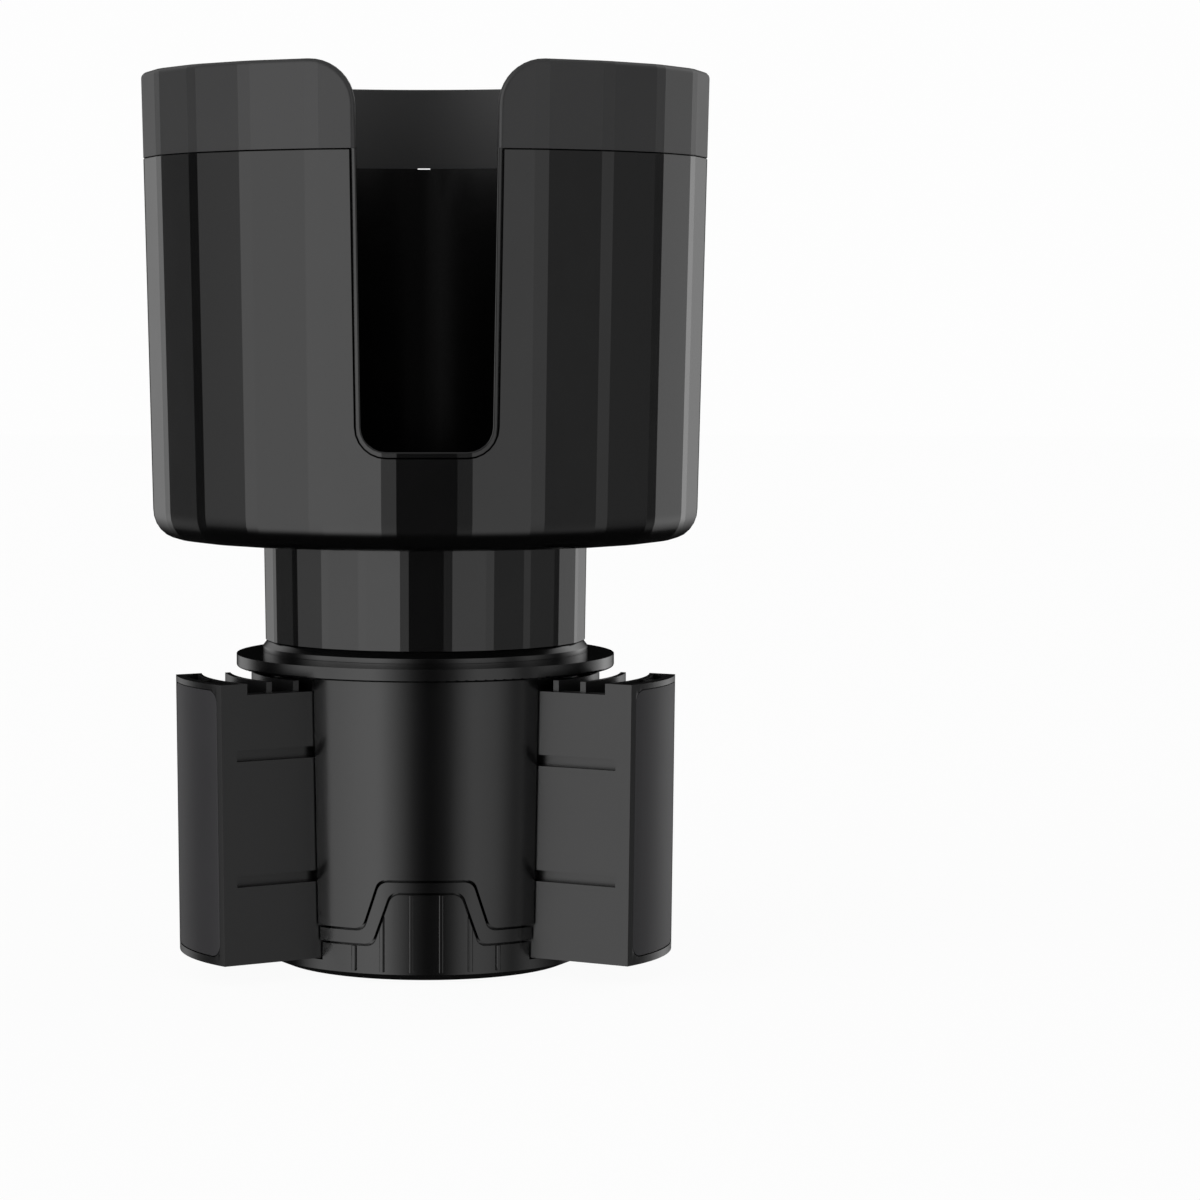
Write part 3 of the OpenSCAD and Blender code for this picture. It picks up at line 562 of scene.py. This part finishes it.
def notch_block():
    """Cutter for the small notch at the back, under the band."""
    bm = bmesh.new()
    size = Matrix.Diagonal((2 * NOTCH_HALF, NOTCH_REACH, NOTCH_H, 1))
    place = Matrix.Translation((0, RIM_FLAT_R, SEAM_Z)) @ size
    bmesh.ops.create_cube(bm, size=1, matrix=place)
    return bm


def carved(blank, cutters):
    """The blank with the cutters taken out of it, as a new mesh work space in metres."""
    helpers = []
    for index, bm in enumerate([blank] + cutters):
        bmesh.ops.scale(bm, verts=bm.verts, vec=(MM, MM, MM))
        helper = bpy.data.objects.new("helper_%d" % index, as_mesh(bm, "helper_%d" % index))
        scene.collection.objects.link(helper)
        helpers.append(helper)
    for cutter in helpers[1:]:
        cut = helpers[0].modifiers.new(cutter.name, "BOOLEAN")
        cut.operation = "DIFFERENCE"
        cut.solver = "EXACT"
        cut.object = cutter
    graph = bpy.context.evaluated_depsgraph_get()
    mesh = bpy.data.meshes.new_from_object(helpers[0].evaluated_get(graph))
    bm = tidy_copy(mesh)
    for helper in helpers:
        bpy.data.meshes.remove(helper.data)
    bpy.data.meshes.remove(mesh)
    return bm


def tab_shell(bm, turn):
    """One soft tab, bent down a little towards its tip, at an angle around the axis."""
    length = TAB_REACH / cos(radians(TAB_SLOPE))
    part = bmesh.new()
    bmesh.ops.create_grid(part, x_segments=12, y_segments=8, size=0.5)
    for vert in part.verts:
        along = vert.co.x + 0.5
        half = TAB_ROOT_HALF + (TAB_TIP_HALF - TAB_ROOT_HALF) * along
        vert.co = (along * (length + TAB_ROOT) - TAB_ROOT, vert.co.y * 2 * half, 0)
    at_tip = [v for v in part.verts if v.co.x > length - TOUCH]
    tips = [v for v in at_tip if abs(v.co.y) > TAB_TIP_HALF - TOUCH]
    bmesh.ops.bevel(part, geom=tips, affect="VERTICES", offset=TAB_TIP_ROUND, segments=4,
                    profile=0.5, material=-1)
    out = bmesh.ops.extrude_face_region(part, geom=list(part.faces), use_keep_orig=True)
    upper = [g for g in out["geom"] if isinstance(g, bmesh.types.BMVert)]
    bmesh.ops.translate(part, verts=upper, vec=(0, 0, TAB_T))
    bmesh.ops.recalc_face_normals(part, faces=part.faces)
    corners = [e for e in part.edges if fold(e) > CORNER_FOLD]
    bmesh.ops.bevel(part, geom=corners, affect="EDGES", offset=TAB_EDGE_ROUND, segments=3,
                    profile=0.5, material=-1)
    for vert in part.verts:
        share = max(0, vert.co.x) / length
        vert.co.z += TAB_BOW * sin(pi * share)
    place = (Matrix.Rotation(radians(turn - 90), 4, "Z") @ Matrix.Translation((BAND_INNER_R, 0, TAB_Z))
             @ Matrix.Rotation(radians(-TAB_SLOPE), 4, "Y") @ Matrix.Diagonal((-1, 1, 1, 1)))
    part.transform(Matrix.Scale(MM, 4) @ place)
    bmesh.ops.recalc_face_normals(part, faces=part.faces)
    mesh = as_mesh(part, "tab")
    bm.from_mesh(mesh)
    bpy.data.meshes.remove(mesh)


def soft_band():
    blank = faceted_block(SEAM_FLAT_R, RIM_FLAT_R, SEAM_Z, RIM_Z)
    bm = carved(blank, [bore_block(), slot_block(), notch_block()])
    bent = [e for e in bm.edges if fold(e) > BAND_FOLD and middle(e).z > BAND_LOW_Z]
    outer = [e for e in bent if min(hypot(v.co.x, v.co.y) for v in e.verts) / MM > BAND_SPLIT_R]
    round_edges(bm, outer, BAND_ROUND, 5)
    bm.normal_update()
    rest = [e for e in bm.edges if fold(e) > BAND_FOLD and middle(e).z > BAND_LOW_Z]
    inner = [e for e in rest if hypot(middle(e).x, middle(e).y) < BAND_SPLIT_R]
    round_edges(bm, inner, BAND_INNER_ROUND, 3)
    bm.normal_update()
    low = [e for e in bm.edges if fold(e) > BAND_FOLD and middle(e).z < BAND_LOW_Z]
    round_edges(bm, [e for e in low if hypot(middle(e).x, middle(e).y) > BAND_SPLIT_R], SEAM_V, 1)
    shade(bm, BAND_CRISP_R)
    for turn in TAB_TURNS:
        tab_shell(bm, turn)
    for face in bm.faces:
        face.smooth = True
    mesh = as_mesh(bm, "soft_band")
    finished("soft_band", mesh, BAND_GREY, "cup", "rim_ring", BAND_SPLIT_R)


# Floor mat: a soft disc with a raised edge and staggered dots

def dotted_mat():
    top_z = MAT_Z + MAT_T
    inner_r = MAT_R - MAT_EDGE_W
    bm = tidy_copy(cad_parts["floor_mat"].data)
    round_edges(bm, [e for e in bm.edges if fold(e) > ROUNDED_FOLD], MAT_ROUND, 3)
    one = bmesh.new()
    bmesh.ops.create_uvsphere(one, u_segments=12, v_segments=8, radius=1,
                              matrix=Matrix.Diagonal((DOT_R * MM, DOT_R * MM, DOT_H * MM, 1)))
    dot = as_mesh(one, "dot")
    rows = int(inner_r / DOT_PITCH / sin(pi / 3))
    for row in range(-rows, rows + 1):
        for column in range(-rows - 2, rows + 3):
            x = (column + (row % 2) / 2) * DOT_PITCH
            y = row * DOT_PITCH * sin(pi / 3)
            if hypot(x, y) < inner_r - 2 * DOT_R:
                step = Matrix.Translation((x * MM, y * MM, (top_z - DOT_SUNK) * MM))
                dot.transform(step)
                bm.from_mesh(dot)
                dot.transform(step.inverted())
    bpy.data.meshes.remove(dot)
    shade(bm)
    finished("dotted_mat", as_mesh(bm, "dotted_mat"), MAT_RUBBER, "cup", "floor_mat")


# Every node gets its finish: hidden parts of the drive as they are, the rest as dressed copies

PLAIN = {
    "glide_washer": NYLON, "drive_hub": NYLON, "drive_disc": NYLON,
    "base_screws": STEEL, "hub_screws": STEEL, "lock_washer": STEEL, "lock_screw": STEEL,
    "cam_pin_left": STEEL, "cam_pin_right": STEEL, "cam_pin_back": STEEL,
}
BASE_NODES = ("base_shell", "collar_cap", "bottom_cap",
              "wave_trim_front", "wave_trim_left", "wave_trim_right")

for node, material in PLAIN.items():
    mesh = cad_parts[node].data
    mesh.materials.clear()
    mesh.materials.append(material)

dressed("cup_body", "cup", CUP_BLACK, round_mm=0.18, crisp_r=29, lip=True)
soft_band()
dotted_mat()
dressed("foot_pad", "base", FOOT_RUBBER, round_mm=0.35)
for node in BASE_NODES:
    dressed(node, "base", BASE_BLACK, round_mm=0.08, round_r=60, fine_z=21)
for side in ("left", "right", "back"):
    dressed("wing_" + side, "wing_" + side, WING_BLACK, round_mm=0.22)
    dressed("pad_" + side, "wing_" + side, PAD_RUBBER, round_mm=0.3)


# Plain studio: pale floor, light from both sides, a dark room behind the camera

# Light around the object: degrees to the right of the point behind the camera, and strength there
RING = ((-180, 0.0), (-166, 0.02), (-154, 0.56), (-139, 0.85), (-124, 0.11), (-108, 0.015), (-100, 0.1),
        (-93, 0.65), (-78, 1.75), (-62, 1.68), (-47, 2.02), (-31, 2.2), (-16, 0.8), (-8, 0.2),
        (0, 0.02), (8, 0.06), (16, 0.2), (22, 0.7), (31, 1.2), (47, 0.98), (62, 0.23), (78, 0.8),
        (93, 0.28), (108, 0.02), (124, 0.76), (139, 1.5), (154, 0.53), (166, 0.02), (180, 0.0))
RING_STRENGTH = 2.5
OVERHEAD_STRENGTH = 0.45
OVERHEAD_FROM, OVERHEAD_FULL = 0.55, 0.85
UNDER_LEVEL = 0.01
RING_LOW_SLOPE = 0.3
RING_LOW_FROM, RING_LOW_FULL = 0.38, 0.6
BACKDROP_LEVEL = 0.985
FLOOR_R = 3
FLOOR_WHITE_SHARE = 0.95


def background(tree, level, strength=1.0):
    """A background shader of one grey."""
    node = tree.nodes.new("ShaderNodeBackground")
    node.inputs["Color"].default_value = (level, level, level, 1)
    node.inputs["Strength"].default_value = strength
    return Wire(tree, node.outputs[0])


def light_room():
    world = bpy.data.worlds.new("room")
    scene.world = world
    world.use_nodes = True
    tree = world.node_tree
    tree.nodes.clear()
    bench = Bench(tree)
    where = bench.add("ShaderNodeTexCoord", out=0)
    split = tree.nodes.new("ShaderNodeSeparateXYZ")
    feed(tree, split.inputs[0], where)
    x, y, z = (Wire(tree, s) for s in split.outputs)
    # 0 and 1 are behind the object, 0.5 is behind the camera, under 0.5 is its left
    turn = x.maths("ARCTAN2", y * -1.0) / (2 * pi) + 0.5
    ring_level = bench.ramp(turn, *[((a + 180) / 360, level / RING_STRENGTH) for a, level in RING])
    ring = bench.add("ShaderNodeBackground", Color=ring_level, Strength=RING_STRENGTH)
    height = bench.ramp(z, (OVERHEAD_FROM, 0.0), (OVERHEAD_FULL, 1.0))
    above = bench.add("ShaderNodeMixShader", i0=height, i1=ring, i2=background(tree, 1, OVERHEAD_STRENGTH))
    depth = bench.ramp(z - y * RING_LOW_SLOPE + 1.0, (RING_LOW_FROM, 0.0), (RING_LOW_FULL, 1.0))
    room = bench.add("ShaderNodeMixShader", i0=depth, i1=background(tree, UNDER_LEVEL), i2=above)
    seen = bench.add("ShaderNodeLightPath", out=0)
    mixed = bench.add("ShaderNodeMixShader", i0=seen, i1=room, i2=background(tree, BACKDROP_LEVEL))
    out = tree.nodes.new("ShaderNodeOutputWorld")
    feed(tree, out.inputs[0], mixed)


def lay_floor():
    """White to the camera, with the object's shadow, and not there in the object's reflections."""
    bm = bmesh.new()
    bmesh.ops.create_circle(bm, cap_ends=True, segments=96, radius=FLOOR_R)
    mesh = as_mesh(bm, "floor")
    floor = bpy.data.objects.new("floor", mesh)
    scene.collection.objects.link(floor)
    material = bpy.data.materials.new("floor_white")
    material.use_nodes = True
    tree = material.node_tree
    bench = Bench(tree)
    paint = tree.nodes["Principled BSDF"]
    paint.inputs["Base Color"].default_value = (1, 1, 1, 1)
    paint.inputs["Roughness"].default_value = 0.9
    paint.inputs["Specular IOR Level"].default_value = 0.0
    path = tree.nodes.new("ShaderNodeLightPath")
    seen = Wire(tree, path.outputs["Is Camera Ray"])
    mirrored = Wire(tree, path.outputs["Is Glossy Ray"])
    white = bench.add("ShaderNodeEmission", Color=(1, 1, 1, 1), Strength=1.0)
    clear = bench.add("ShaderNodeBsdfTransparent")
    painted = Wire(tree, paint.outputs[0])
    shown = bench.add("ShaderNodeMixShader", i0=seen * FLOOR_WHITE_SHARE, i1=painted, i2=white)
    surface = bench.add("ShaderNodeMixShader", i0=mirrored, i1=shown, i2=clear)
    feed(tree, tree.nodes["Material Output"].inputs[0], surface)
    mesh.materials.append(material)


light_room()
lay_floor()
scene.view_settings.view_transform = "Standard"
